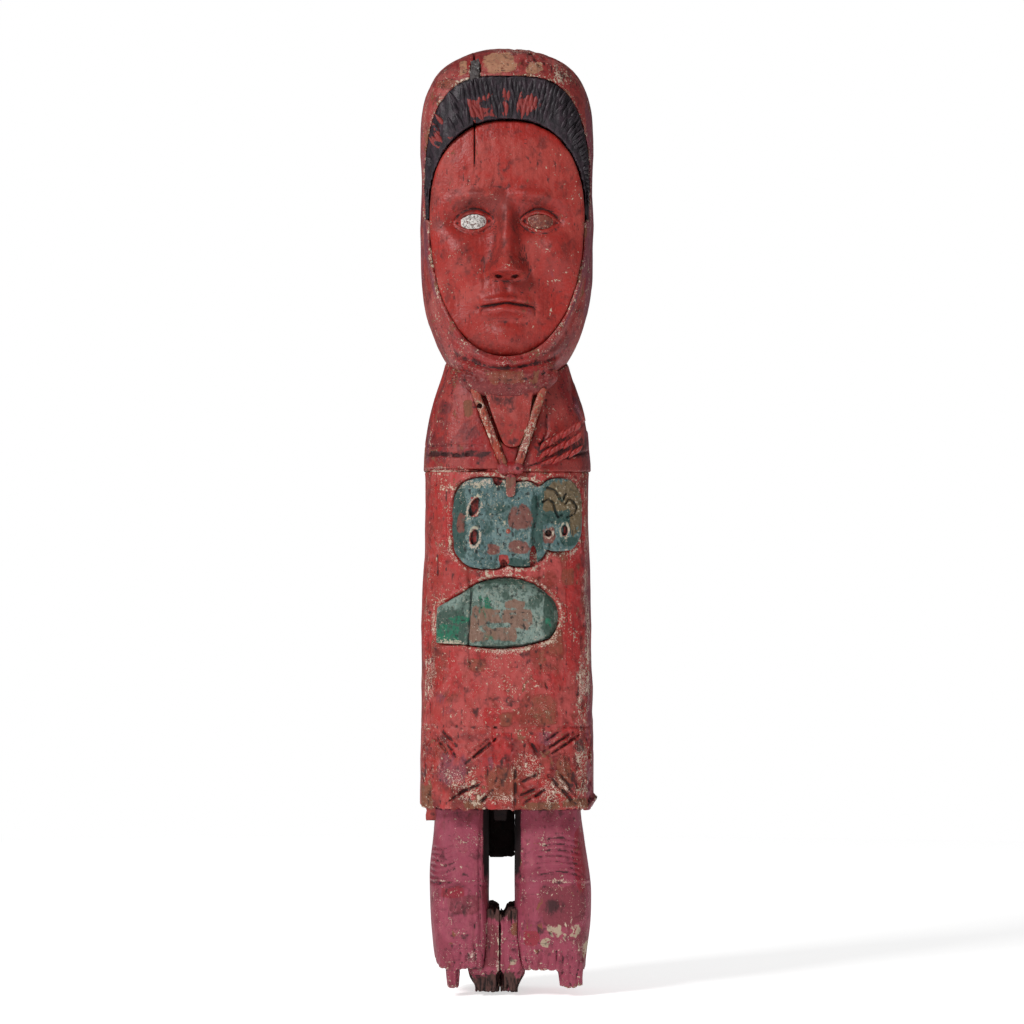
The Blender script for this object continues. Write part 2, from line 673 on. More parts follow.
def face_height(x, z):
    """How far the face stands forward of y = 0.

    It is a generic, even face: the eyes are one eye-width apart, and the brow, the base of the nose and the
    chin are a third of the face apart.
    """
    ax = np.abs(x)
    across = np.sqrt(np.clip(1 - (ax / 96) ** 3.0, 0.02, 1))
    h = 16 + 42 * across * np.sqrt(np.clip(1 - np.abs((z - 745) / 165) ** 3.4, 0.02, 1))
    h = h + 5.5 * bump((ax - 24) / 22, (z - BROW_Z - 3 + 0.004 * (ax - 20) ** 2) / 6.0)
    h = h + 2.5 * bump(ax / 46, (z - 832) / 26)
    h = h - 12.5 * np.exp(-(((ax - EYE_X) / 24) ** 2 + ((z - EYE_Z - 2) / 14) ** 2) ** 1.4)
    h = h + 7.0 * bump((ax - 49) / 17, (z - 738) / 17)
    h = h - 4.5 * bump((ax - 47) / 14, (z - 694) / 20)
    # eyeballs and lids
    side = ax - EYE_X
    ball = -EYEBALL_Y + np.sqrt(np.clip(EYEBALL_RADIUS**2 - side**2 - (z - EYE_Z) ** 2, 0, None))
    h = -join(-h, -ball, 3.0)
    gap = lid_gap(side, z)
    reach = 1 - ramp(np.abs(side), EYE_HALF - 1, EYE_HALF + 5)
    h = h + 2.4 * bump((gap - 2.2) / 1.9) * reach
    h = h - gouge(np.abs(gap - 5.4), 1.4, 1.4) * reach * ramp(z, EYE_Z, EYE_Z + 4)
    # nose: a bridge that widens to the tip and wings
    t = np.clip((786 - z) / (786 - 724), 0, 1)
    ridge = (3 + 22.5 * t**1.25) * np.exp(-(np.abs(x / (7.5 + 4.5 * t)) ** 2.4))
    under = ramp(z, NOSE_BASE_Z - 5, NOSE_BASE_Z + 5)
    nose = ridge * (1 - ramp(z, 780, 800)) + 4.0 * bump(x / 10, (z - 724) / 9)
    nose = nose + 12.5 * bump((ax - 13) / 6.5, (z - 719) / 7.5)
    h = h + nose * under - 2.8 * bump((ax - 21.5) / 3.5, (z - 717) / 9)
    # mouth: the rounded muzzle, the groove under the nose, two lips and the line between them
    h = h + 6.0 * bump(x / 30, (z - MOUTH_Z) / 21) - 1.8 * bump(x / 3.6, (z - 702) / 7)
    wide = np.clip(1 - (ax / 27) ** 2, 0, 1) ** 0.6
    line = MOUTH_Z - 0.0035 * ax**2 + 1.3 * bump(ax / 8)
    h = h + 4.6 * wide * bump((z - line - 5.0 + 0.9 * bump(x / 4)) / 4.0)
    h = h + 5.2 * wide * bump((z - line + 6.0) / 4.4)
    h = h - gouge(np.abs(z - line), 2.2, 3.6) * (1 - ramp(ax, 23, 28))
    h = h - 2.4 * bump((ax - 28) / 4, (z - line) / 4) - 3.0 * bump(x / 20, (z - 669) / 4.5)
    return h + 7.5 * bump(x / 21, (z - CHIN_Z) / 14)


def face_field(x, y, z):
    steepness = 1.4  # the face is steep in places, so its height is brought nearer to a distance
    d = (-face_height(x, z) - y) / steepness
    d = -join(-d, -face_outline(x, z), 2.5)
    d = np.maximum(d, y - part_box("face_mask")[1].y / MM)
    for side in (-1, 1):
        reach = ((x - side * 8) / 4.2) ** 2 + ((y + 66) / 7.0) ** 2 + ((z - NOSE_BASE_Z - 1) / 5.0) ** 2
        d = away(d, (np.sqrt(reach) - 1) * 4.2, 1.2)  # nostril
    eye = np.maximum(lid_gap(np.abs(x) - EYE_X, z), np.abs(np.abs(x) - EYE_X) - EYE_HALF)
    d = away(d, np.maximum(eye, y + 51.0), 0.6)
    d = d + noise(x, y, z, 22.0, 21) * 0.35 + noise(x, y, z, (2.6, 2.6, 26.0), 22) * 0.14
    d = d + facets(x, z, 15.0, 24.0, 3) * 0.35
    return d + drying_crack(x, y, z, 812, 900, 0.6, 2.2)


def eye_field(side):
    """An inlay plate with the swell of the eyeball, a little worn."""

    def field(x, y, z):
        gap = np.maximum(lid_gap(x * side - EYE_X, z), np.abs(x * side - EYE_X) - EYE_HALF) + 0.3
        reach = (x * side - EYE_X) ** 2 + (y - EYEBALL_Y) ** 2 + (z - EYE_Z) ** 2
        ball = np.sqrt(reach) - EYEBALL_RADIUS
        d = np.maximum(np.maximum(gap, ball), y + 50.4)
        return d + noise(x, y, z, 3.0, 31) * 0.3

    return field


def filler_detail(x, y, z, d):
    return d + noise(x, y, z, 4.0, 13) * 1.2 + ramp(noise(x, y, z, 2.5, 14), 0.2, 0.4) * 0.8


# --- collar, cords and pendants ---

# lines of the cloth over the shoulders: points, half width and depth of the cut
COLLAR_FOLDS = [
    ([(-62, 614), (-71, 590), (-73, 556)], 2.6, 2.2), ([(64, 614), (66, 588), (80, 564)], 3.0, 2.6),
    ([(38, 592), (40, 560), (34, 548)], 2.2, 1.8), ([(-84, 547), (-22, 547)], 1.3, 1.1),
    ([(-84, 523.5), (-8, 523)], 1.8, 2.2), ([(21, 526), (40, 532), (62, 536), (86, 543)], 2.0, 2.6),
    ([(33, 548), (50, 556), (84, 573)], 2.2, 2.4),
]
BAND_DASHES = [(-72, 538.5, 5.5, 2.6), (-62, 538, 3.5, 2.0), (-50, 537, 3.6, 2.2), (-39, 537.5, 2.4, 1.8)]
COLLAR_MARKS = {
    "soot": [(-50, 538, 36, 3), (58, 545, 30, 12), (-30, 590, 6, 8), (70, 552, 16, 3)],
    "bare": [(-39, 584, 4, 8)], "crimson": [(38, 531, 12, 4)],
    "mauve": [(-80, 560, 4, 34), (72, 588, 8, 20), (82, 560, 5, 20)],
    "chalk": [(-62, 522, 24, 3), (-76, 583, 4, 6)],
}


def collar_detail(x, y, z, d):
    front = ramp(-y, -20, 10)
    d = d + timber_movement(x, y, z) + adzed_back(x, y, z)
    for points, half, depth in COLLAR_FOLDS:
        d = d + gouge(along(x, z, points)[0], half, depth) * front
    for cx, cz, rx, rz in BAND_DASHES:
        d = d + 2.6 * (1 - ramp(oval(x, z, cx, cz, rx, rz), -1.0, 0.8)) * front
    return d


CHEST_MARKS = {
    "dusty": [(0, 585, 18, 14)], "chalk": [(-20, 592, 4, 14)], "soot": [(-22, 570, 4, 34), (4, 540, 12, 4)]
}
CORD_MARKS = {
    "top": [(-32, 594, 12, 12), (36, 590, 12, 10)], "chalk": [(-20, 570, 10, 20), (22, 560, 12, 24)]
}
KNOT_MARKS = {"crimson": [(4, 524, 20, 8)]}


def chest_detail(x, y, z, d):
    d = d + noise(x, y, z, 14.0, 41) * 0.6 + noise(x, y, z, (2.6, 2.6, 20.0), 42) * 0.2
    cord_edge, _ = along(x, z, [(-29, 604), (1, 527)])
    return d + 3.2 * (1 - ramp(cord_edge, 1.5, 5.0)) * ramp(-y, 44, 50)


def cord_detail(side):
    def detail(x, y, z, d):
        d = d + noise(x, y, z, (5.0, 5.0, 9.0), 43 + side) * 0.5
        d = d + 1.2 * ramp(noise(x, y, z, (3.0, 3.0, 6.0), 45 + side), 0.3, 0.55)
        if side < 0:  # a hole near the top of the left cord
            d = away(d, np.sqrt((x + 27) ** 2 + (z - 586) ** 2) - 2.6, 0.6)
        return d

    return detail


def knot_field(x, y, z):
    """Two beads of cord side by side, and the turn that holds them."""
    low, high = (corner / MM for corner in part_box("cord_knot"))
    middle = (low + high) / 2
    d = 99.0
    for offset, radius in ((-7.4, 5.6), (7.0, 5.9), (0.0, 4.2)):
        reach = ((x - middle.x - offset) / 1.05) ** 2 + (y - middle.y + 3) ** 2 + (z - middle.z) ** 2
        d = join(d, np.sqrt(reach) - radius, 1.0)
    return d + noise(x, y, z, 4.0, 47) * 0.35


def tab_detail(x, y, z, d):
    return d - 0.5 + noise(x, y, z, (3.0, 3.0, 7.0), 48) * 0.4


# scored curves on the upper pendant's head: points in the XZ plane
PENDANT_CUTS = [
    [(36, 491), (41, 494), (46, 490), (48, 482), (51, 476), (55, 478)],
    [(40, 505), (47, 503), (52, 496), (55, 491), (58, 499)],
    [(58, 489), (61, 494), (66, 491), (69, 485), (67, 479), (60, 476)],
]
# x, z, half width, half height and slant of the openings through it
PENDANT_HOLES = [
    (-32, 486, 4.6, 10.0, -0.45), (-32, 456, 4.4, 8.0, -0.1), (41, 460, 3.4, 3.4, 0.0),
    (57, 463, 3.2, 5.6, 0.0),
]
PENDANT_NOTCHES = [(-9, 515, 5.0, 8.0), (30, 514, 4.0, 8.0), (-3, 424, 4.0, 10.0), (26, 436, 3.5, 12.0)]


def hole_rims(x, z):
    """1 on the pale rims of the upper pendant's openings."""
    best = np.zeros_like(x)
    for cx, cz, rx, rz, turn in PENDANT_HOLES:
        best = np.maximum(best, bump((oval(x, z, cx, cz, rx, rz, 2.0, turn) - 1.2) / 1.3))
    return best


PENDANT_MARKS = {
    "bare": [(13, 476, 11, 12), (-14, 444, 7, 6), (12, 446, 10, 7), (41, 458, 6, 8), (-45, 470, 4, 10)],
    "dark": [(-48, 476, 7, 28), (30, 470, 6, 26), (62, 452, 8, 4), (10, 430, 14, 4), (50, 484, 18, 14)],
    "olive": [(58, 498, 18, 16), (68, 478, 7, 20), (44, 494, 8, 12)], "chalk": lambda x, y,
    z: np.maximum(hole_rims(x, z), patches(np.stack((x, y, z), 1), [(-4, 509, 40, 4)])),
    "red": [(-32, 486, 4.5, 10), (-33, 456, 4, 8), (-3, 434, 5, 5), (57, 462, 2.5, 5)],
}


def wrapped(x):
    """How far the chest's front curves back at x."""
    return 68 * (1 - (1 - np.clip(np.abs(x) / 88, 0, 0.97) ** 4) ** 0.25)


def pendant_field(node, detail=lambda x, y, z, d: d):
    """A pendant's CAD solid, laid round the curve of the chest and carved, if it has a detail."""
    base = cad_field(node)

    def field(x, y, z):
        flat = y - wrapped(x)
        return detail(x, flat, z, base(x, flat, z))

    return field


def tiki_detail(x, y, z, d):
    proud = ramp(-y, 50, 54)
    d = d + noise(x, y, z, 9.0, 51) * 0.5 + noise(x, y, z, (2.4, 2.4, 5.0), 52) * 0.25
    for points in PENDANT_CUTS:
        d = d + gouge(along(x, z, points)[0], 2.0, 3.0) * proud
    d = d + 1.0 * ramp(noise(x, y, z, (3.0, 3.0, 4.0), 55), 0.1, 0.6) * proud
    d = d + 2.2 * bump((x - 29 - 2 * np.sin(z * 0.12)) / 2.6) * proud
    for cx, cz, rx, rz, turn in PENDANT_HOLES:
        hole = oval(x, z, cx, cz, rx, rz, 2.0, turn)
        d = away(d, np.maximum(hole, y + 52.5), 0.8)
        d = d - 0.8 * bump((hole - 1.2) / 1.2) * proud
    for cx, cz, rx, rz in PENDANT_NOTCHES:
        d = away(d, oval(x, z, cx, cz, rx, rz), 1.5)
    return d


CLUB_MARKS = {
    "dark": [(-56, 365, 14, 17), (42, 375, 5, 22), (-2, 413, 30, 3), (44, 394, 6, 10)],
    "bare": [(-28, 370, 9, 18), (-8, 378, 24, 7), (14, 376, 13, 10), (-10, 360, 20, 7), (8, 390, 10, 4)],
    "pale": [(0, 396, 26, 9), (24, 382, 14, 20), (2, 364, 14, 8)],
    "emerald": [
        (-58, 358, 12, 12), (-48, 374, 12, 4), (-22, 386, 6, 12), (-16, 358, 6, 5), (41, 372, 3, 5)
    ],
    "chalk": [(-56, 352, 14, 3)],
}


def club_detail(x, y, z, d):
    proud = ramp(-y, 50, 54)
    d = d + noise(x, y, z, 9.0, 53) * 0.45 + noise(x, y, z, (2.4, 2.4, 5.0), 54) * 0.22
    d = d + 0.7 * ramp(noise(x, y, z, (3.0, 3.0, 4.0), 56), 0.1, 0.6) * proud
    d = d + gouge(np.abs(x + 37 - 0.06 * (z - 370)), 1.6, 1.8) * proud
    d = d + 0.9 * bump((oval(x, z, 17, 378, 6.5, 4.5) + 0.5) / 1.5) * proud
    # the blade's bevel, broad at the right and narrow along the top and the bottom
    blade = oval(x, z, 2, 377, 41, 27, 2.6)
    return d + 3.6 * ramp(blade, -3, 5) * ramp(x, -30, -10) * proud


# --- trunk, legs and split block ---

HEM_LINE_Z = 268.0
# straight gouge cuts of the border, as (x, z) ends
HEM_CUTS = [
    [(-37, 241), (-14, 259)], [(-32, 239), (-7, 260)], [(-40, 233), (-18, 252)], [(-64, 265), (-50, 250)],
    [(-58, 250), (-48, 236)], [(-70, 258), (-58, 242)], [(36, 253), (58, 268)], [(36, 244), (65, 263)],
    [(41, 240), (71, 260)], [(22, 256), (32, 240)], [(11, 213), (36, 224)], [(11, 200), (30, 208)],
    [(17, 193), (40, 208)], [(41, 221), (71, 188)], [(52, 222), (62, 210)], [(-46, 204), (-24, 213)],
    [(-60, 193), (-40, 207)], [(-28, 192), (-14, 206)], [(8.5, 231), (8.5, 189)],
]
TRUNK_MARKS = {
    "bare": [(-82, 198, 7, 12), (36, 191, 16, 4), (68, 193, 14, 4), (-34, 192, 10, 4)],
    "brown": [
        (58, 446, 5, 17), (61, 418, 6, 9), (48, 352, 7, 13), (34, 336, 4, 7), (36, 286, 13, 14),
        (-2, 275, 7, 6), (-5, 214, 15, 16), (56, 222, 7, 17), (-30, 330, 8, 6),
    ],
    "crimson": [
        (65, 388, 8, 62), (-4, 247, 11, 14), (25, 231, 6, 8), (-14, 279, 8, 8), (70, 460, 6, 45),
        (64, 262, 9, 9),
    ],
    "dusty": [(-8, 322, 46, 24), (20, 425, 40, 14), (-52, 232, 16, 18), (20, 300, 50, 16)],
    "mauve": [(-54, 228, 15, 17), (-62, 290, 8, 12), (36, 258, 14, 8), (-25, 232, 10, 9)],
    "chalk": [
        (-76, 318, 5, 22), (-78, 267, 8, 4), (80, 400, 3, 110), (74, 300, 5, 40), (74, 225, 6, 24),
        (-48, 505, 16, 4), (48, 205, 14, 14), (-46, 218, 18, 12), (20, 230, 16, 12), (-20, 198, 30, 6),
    ],
    "soot": [(72, 250, 4, 6), (64, 214, 5, 14), (-82, 222, 3, 5)],
}


def inside_slot(x, y, z):
    """1 in the dark slot between the legs."""
    within = (1 - ramp(np.abs(x - SLOT_X), 16, 20)) * ramp(y, -44, -36)
    return within * ramp(z, 105, 150) * (1 - ramp(z, HEM_Z - 2, HEM_Z + 2))


def trunk_detail(pendants):
    """pendants are the fields of what is let into the chest: a narrow cut is left all round them."""

    def detail(x, y, z, d):
        front = ramp(-y, 10, 35)
        d = d + timber_movement(x, y, z) + adzed_back(x, y, z) * (z < COLLAR_Z)
        for pendant in pendants:
            near = pendant(x, y + 2.0, z)
            d = away(d, near - 0.9, 0.6)
            d = d - 1.0 * bump((near - 3.6) / 1.6) * front
        d = d + gouge(np.abs(z - HEM_LINE_Z - noise(x, y, z, 20.0, 61) * 1.5), 1.8, 1.5) * ramp(
            -y, -40, -10
        )
        for points in HEM_CUTS:
            far, share = along(x, z, points)
            deep = 0.35 + 0.65 * np.sin(np.pi * np.clip(share, 0.05, 0.95))
            d = d + (gouge(far, 2.4, 3.6 * deep) - 0.9 * bump((far - 3.4) / 1.2) * deep) * front
        # the left arris swells and is knocked about
        d = d - 2.4 * bump((x + 86) / 9, (z - 378) / 48, (y + 30) / 40)
        arris = ramp(np.abs(x), 66, 76) * ramp(-y, 10, 30)
        d = d + 1.6 * ramp(noise(x, y, z, (5.0, 5.0, 11.0), 62), 0.15, 0.5) * arris
        # dents and short checks
        d = d + 0.9 * ramp(noise(x, y, z, 13.0, 63), 0.5, 0.75) * front
        # lumps and runs of thick paint, most of all on the border
        thick = 0.5 + 1.1 * (1 - ramp(z, HEM_LINE_Z - 6, HEM_LINE_Z + 6)) + 0.5 * ramp(np.abs(x), 60, 74)
        d = d - 0.9 * thick * ramp(noise(x, y, z, (3.4, 3.4, 5.0), 66), 0.1, 0.6) * front
        split = ramp(noise(x, y, z, (2.2, 2.2, 60.0), 64), 0.68, 0.82)
        d = d + 1.6 * split * front
        # a splinter stands out at the hem's right corner, and the hem is chipped
        splinter = np.sqrt(
            ((x - 84) / 6) ** 2 + ((y + 18) / 16) ** 2 + ((z - 192 - 0.9 * (x - 84)) / 3.5) ** 2
        )
        d = join(d, (splinter - 1) * 3.5, 3.0)
        return d + 1.5 * ramp(noise(x, y, z, (7.0, 7.0, 4.0), 65), 0.2, 0.5) * (
            1 - ramp(z, HEM_Z + 1, HEM_Z + 6)
        )

    return detail


LEG_MARKS = {
    "left": {
        "soot": [(-48, 190, 32, 5), (-30, 25, 14, 6)], "dusty": [(-40, 140, 20, 24), (-46, 80, 22, 22)],
        "chalk": [(-46, 115, 30, 1.5), (-54, 76, 4, 4), (-34, 40, 5, 5)], "crimson": [(-54, 104, 12, 5)],
        "brown": [(-42, 92, 16, 9)], "inside": inside_slot,
    },
    "right": {
        "soot": [(46, 190, 32, 5), (22, 22, 12, 5)], "dusty": [(32, 150, 22, 22)],
        "chalk": [(46, 115, 32, 1.5), (76, 110, 4, 3)],
        "cream": [(46, 66, 8, 7), (66, 66, 7, 7), (78, 46, 3, 9), (38, 54, 5, 5), (56, 60, 4, 4)],
        "brown": [(56, 92, 22, 18), (50, 78, 14, 8), (78, 40, 4, 22)],
        "crimson": [(73, 136, 6, 30), (24, 58, 8, 7)], "inside": inside_slot,
    },
}
# x of the middle, z of the top one, half width, sag in mm per mm squared
LEG_WRINKLES = {"left": (-66.0, 146.0, 18.0, -0.02), "right": (50.0, 157.0, 26.0, 0.006)}


def leg_detail(side):
    def detail(x, y, z, d):
        front = ramp(-y, 5, 25)
        d = d + noise(x, y, z, (26.0, 26.0, 40.0), 71) * 0.8 + noise(x, y, z, (3.0, 3.0, 36.0), 72) * 0.22
        cx, top, half, sag = LEG_WRINKLES[side]
        reach = 1 - ramp(np.abs(x - cx), half * 0.6, half)
        for row in range(7):
            crease = top - 5.6 * row - sag * (x - cx) ** 2 + noise(x, y, z, 16.0, 73) * 1.2
            d = d + gouge(np.abs(z - crease), 2.4, 1.7) * reach * front
        arc = 113.5 - 0.002 * (x - cx) ** 2
        d = d + gouge(np.abs(z - arc), 1.6, 0.6) * front - 0.9 * bump((z - arc - 3.0) / 1.5) * front
        if side == "left":  # long folds down the inner edge
            for fold_x, low, high in ((-27.0, 40, 180), (-33.0, 30, 90)):
                fold = gouge(np.abs(x - fold_x + noise(z, z, z, 30.0, 74) * 2), 2.2, 1.4) * front
                d = d + fold * ramp(z, low, low + 20) * (1 - ramp(z, high - 20, high))
        # the broken foot: torn splinters of different lengths between the toe stubs
        torn = 23 + noise(x, y, z * 0, (3.5, 9.0, 9.0), 75) * 6 + noise(
            x, y, z * 0, (13.0, 20.0, 9.0), 76
        ) * 7
        toes = {"left": (-53.5, 6.5), "right": (63.0, 13.0)}
        toe_x, toe_half = toes[side]
        toe = 1 - ramp(np.abs(x - toe_x + noise(x, y, z, 12.0, 77) * 2), toe_half, toe_half + 5)
        toe = toe * ramp(-y, 8, 16)
        end = torn * (1 - toe) + (9 + 2.5 * noise(x, y, z * 0, 5.0, 78)) * toe
        if side == "left":  # the outer corner is worn round
            end = end + 20 * ramp(-x, 60, 78)
        d = np.maximum(d, (end - z) * 0.7)
        d = d + 1.8 * ramp(noise(x, y, z, (3.0, 5.0, 30.0), 79), 0.25, 0.55) * (1 - ramp(z, 30, 62))
        # folds that open out towards the foot
        rays = np.abs(np.sin((x - toe_x) * 0.42 + noise(x, y, z, 14.0, 80) * 1.8))
        return d + 1.6 * (1 - rays) ** 3 * (1 - ramp(z, 34, 62)) * front

    return detail


def rotten(x, y, z):
    """1 at the block's top and bottom, and down its back."""
    wander = noise(x, y, z, 9.0, 86) * 5
    return np.maximum(np.maximum(ramp(z + wander, 68, 80), 1 - ramp(z + wander, 14, 24)), ramp(y, 0, 20))


PLINTH_MARKS = {
    "left": {"rot": rotten, "chalk": [(-9, 40, 2, 20)], "brown": [(-18, 50, 10, 20)]},
    "right": {"rot": rotten, "cream": [(7, 33, 5, 3.5)], "bare": [(10, 66, 6, 6)]},
}


def plinth_detail(x, y, z, d):
    """The block between the feet: rotted at the top, notched at the split, and splintered below."""
    tongue = np.maximum(np.abs(x + 9) - 2.6, np.abs(y - 30) - 36)  # closes the split, well behind its mouth
    d = np.minimum(d, np.maximum(tongue, np.abs(z - 42) - 36) + 90 * (x > -6.3))
    middle, notch_x = -10.5, -4.0
    top = 87 - 9 * bump((x - notch_x) / 3.2) - 5 * ramp(noise(x, y, z * 0, (4.0, 8.0, 8.0), 81), -0.2, 0.7)
    d = np.maximum(d, (z - top) * 0.8)
    half = 29.0 - 8.5 * (1 - ramp(z, 4, 24)) + noise(x, y, z, (8.0, 8.0, 12.0), 82) * 1.6
    d = np.maximum(d, np.abs(x - middle) - half)
    low = ramp(noise(x, y, z * 0, (4.0, 5.0, 8.0), 83), -0.3, 0.7) * 7 * ramp(-y, -60, -20)
    d = np.maximum(d, (low - z) * 0.8)
    splinter = ramp(noise(x, y, z, (2.4, 2.4, 28.0), 84), 0.1, 0.5)
    d = d + splinter * (0.8 + 1.6 * (1 - ramp(z, 16, 30)) + 1.4 * ramp(z, 62, 74))
    set_back = 3.5 * (1 - ramp(z, 20, 27))
    return d + set_back * ramp(-y, -4, 4) + noise(x, y, z, 9.0, 85) * 0.6


# --- strands: one geometry-node tree for locks of hair and for the twist of a rope ---


def strand_tree():
    """Stands a pointed strand on every point, turned to its aim and as long and thick as it says."""
    tree = bpy.data.node_groups.new("Pointed strands", "GeometryNodeTree")
    for name, kind in (("Points", "Geometry"), ("Rings", "Int"), ("Sides", "Int"), ("Finish", "Material")):
        tree.interface.new_socket(name, in_out="INPUT", socket_type="NodeSocket" + kind)
    tree.interface.new_socket("Strands", in_out="OUTPUT", socket_type="NodeSocketGeometry")
    given = tree.nodes.new("NodeGroupInput").outputs
    line = add(tree, "GeometryNodeCurvePrimitiveLine", {"Start": (0, 0, -0.5), "End": (0, 0, 0.5)})
    rings = add(tree, "GeometryNodeResampleCurve", {"Curve": line.outputs[0], "Count": given["Rings"]})
    share = add(tree, "GeometryNodeSplineParameter").outputs["Factor"]
    turn = add(tree, "ShaderNodeMath", {0: share, 1: math.pi}, operation="MULTIPLY")
    swell = add(tree, "ShaderNodeMath", {0: turn.outputs[0]}, operation="SINE")
    girth = add(tree, "ShaderNodeMath", {0: swell.outputs[0], 1: 0.02}, operation="MAXIMUM")
    ring = add(tree, "GeometryNodeCurvePrimitiveCircle", {"Resolution": given["Sides"], "Radius": 1.0})
    body = {"Curve": rings.outputs[0], "Profile Curve": ring.outputs[0], "Scale": girth.outputs[0]}
    strand = add(tree, "GeometryNodeCurveToMesh", {"Fill Caps": True, **body})
    aim = add(tree, "GeometryNodeInputNamedAttribute", {"Name": "aim"}, data_type="FLOAT_VECTOR")
    size = add(tree, "GeometryNodeInputNamedAttribute", {"Name": "size"}, data_type="FLOAT_VECTOR")
    turned = add(tree, "FunctionNodeAlignRotationToVector", {"Vector": aim.outputs[0]}, axis="Z")
    stood = add(
        tree, "GeometryNodeInstanceOnPoints",
        {
            "Points": given["Points"], "Instance": strand.outputs[0], "Rotation": turned.outputs[0],
            "Scale": size.outputs[0],
        },
    )
    real = add(tree, "GeometryNodeRealizeInstances", {"Geometry": stood.outputs[0]})
    smooth = add(tree, "GeometryNodeSetShadeSmooth", {"Geometry": real.outputs[0]})
    done = add(
        tree, "GeometryNodeSetMaterial", {"Geometry": smooth.outputs[0], "Material": given["Finish"]}
    )
    add(tree, "NodeGroupOutput", {"Strands": done.outputs[0]})
    return tree


def strands(name, points, aims, sizes, material, node, attributes=()):
    """Stands a strand at each point in mm and hands the finished mesh over beside the CAD node's piece."""
    seed = new_piece(name + "_points", points, np.empty((0, 4)), material, attributes)
    for key, vectors in (("aim", aims), ("size", np.asarray(sizes) * MM)):
        values = seed.data.attributes.new(key, "FLOAT_VECTOR", "POINT").data
        values.foreach_set("vector", np.asarray(vectors, np.float32).ravel())
    modifier = seed.modifiers.new("strands", "NODES")
    modifier.node_group = strand_tree()
    sockets = {item.name: item.identifier for item in modifier.node_group.interface.items_tree}
    modifier[sockets["Rings"]] = 9
    modifier[sockets["Sides"]] = 8
    modifier[sockets["Finish"]] = material
    bpy.context.view_layer.update()
    depsgraph = bpy.context.evaluated_depsgraph_get()
    mesh = bpy.data.meshes.new_from_object(seed.evaluated_get(depsgraph))
    bpy.data.objects.remove(seed)
    mesh.name = name
    if mesh.materials:
        mesh.materials[0] = material
    else:
        mesh.materials.append(material)
    piece = bpy.data.objects.new(name, mesh)
    bpy.context.scene.collection.objects.link(piece)
    place(piece, node, stands_for=False)
    return piece


HAIR_Z, HAIR_HALF_X, HAIR_HALF_Z, HAIR_POWER = 770.0, 82.0, 142.0, 3.3
LOCK_SPACING, LOCK_ROW = 4.6, 10.5  # mm across the locks, and between one row and the next
HAIR_RED = [(-24, 880, 13, 9), (-3, 888, 5, 7), (22, 884, 10, 7)]  # where the red ground shows through


def hair_locks(material):
    """Rows of pointed gouge-cut locks, which point away from the face over the whole band."""
    rng = np.random.default_rng(4)
    points, aims, sizes = [], [], []
    surface = cad_field("hair_fringe")
    depths = np.arange(-62.0, -20.0, 0.5)
    for degrees in np.arange(12.0, 168.0, 0.25):
        angle = math.radians(degrees)
        c, s = math.cos(angle), math.sin(angle)
        outer = ((abs(c) / HAIR_HALF_X) ** HAIR_POWER + (abs(s) / HAIR_HALF_Z) ** HAIR_POWER) ** (
            -1 / HAIR_POWER
        )
        reach = np.arange(30.0, 150.0, 0.5)
        inner = reach[np.argmax(face_outline(reach * c, HAIR_Z + reach * s) > 1.5)]
        rows = max(1, round((outer - inner - 4) / LOCK_ROW))
        for row in range(rows):
            radius = inner + 4 + (row + 0.5) * (outer - inner - 6) / rows
            every = LOCK_SPACING / radius * 180 / math.pi
            shift = 0.5 * (row % 2)
            if int((degrees - 0.25) / every + shift) == int(degrees / every + shift):
                continue
            lean = rng.normal(0, 0.12)
            length = min(outer - inner - 1, LOCK_ROW * rng.uniform(1.7, 2.2))
            radius = min(radius, outer - length / 2)
            inside = surface(depths * 0 + radius * c, depths, depths * 0 + HAIR_Z + radius * s) < 0.3
            if not inside.any():
                continue
            depth = depths[np.argmax(inside)] + 1.2
            points.append((radius * c, depth + rng.uniform(-0.6, 0.6), HAIR_Z + radius * s))
            aims.append((math.cos(angle + lean), rng.uniform(-0.12, 0.02), math.sin(angle + lean)))
            width = LOCK_SPACING * rng.uniform(0.5, 0.64)
            sizes.append((width, width, length))
    red = patches(np.array(points), [*HAIR_RED, (-66, 850, 8, 22)])
    return strands("hair_locks", points, aims, sizes, material, "hair_fringe", {"crimson": red})


# the corded edges of the wrap at the right: points in the XZ plane, y and radius of the cord
ROPES = [
    ([(34, 546), (52, 556), (68, 565), (73, 568)], -59.0, 2.4),
    ([(34, 537), (52, 545), (68, 553), (73, 556)], -59.0, 2.4),
    ([(33, 528), (52, 534), (68, 541), (73, 543)], -59.0, 2.0),
]
ROPE_LAY = 5.2  # mm from one strand of the twist to the next


def collar_ropes(material):
    """Twisted cords, each a row of short strands laid slantwise."""
    points, aims, sizes = [], [], []
    for path, y, radius in ROPES:
        for (x0, z0), (x1, z1) in zip(path, path[1:]):
            length = math.dist((x0, z0), (x1, z1))
            for step in range(round(length / ROPE_LAY)):
                t = (step + 0.5) / round(length / ROPE_LAY)
                wave = 0.8 * math.sin(2.1 * len(points))
                points.append((x0 + (x1 - x0) * t, y + wave, z0 + (z1 - z0) * t + wave))
                slant = math.atan2(z1 - z0, x1 - x0) + 0.45
                aims.append((math.cos(slant), 0.0, math.sin(slant)))
                sizes.append((radius, radius, ROPE_LAY * 2.6))
    return strands("collar_ropes", points, aims, sizes, material, "cloak_collar")


# --- finishes ---


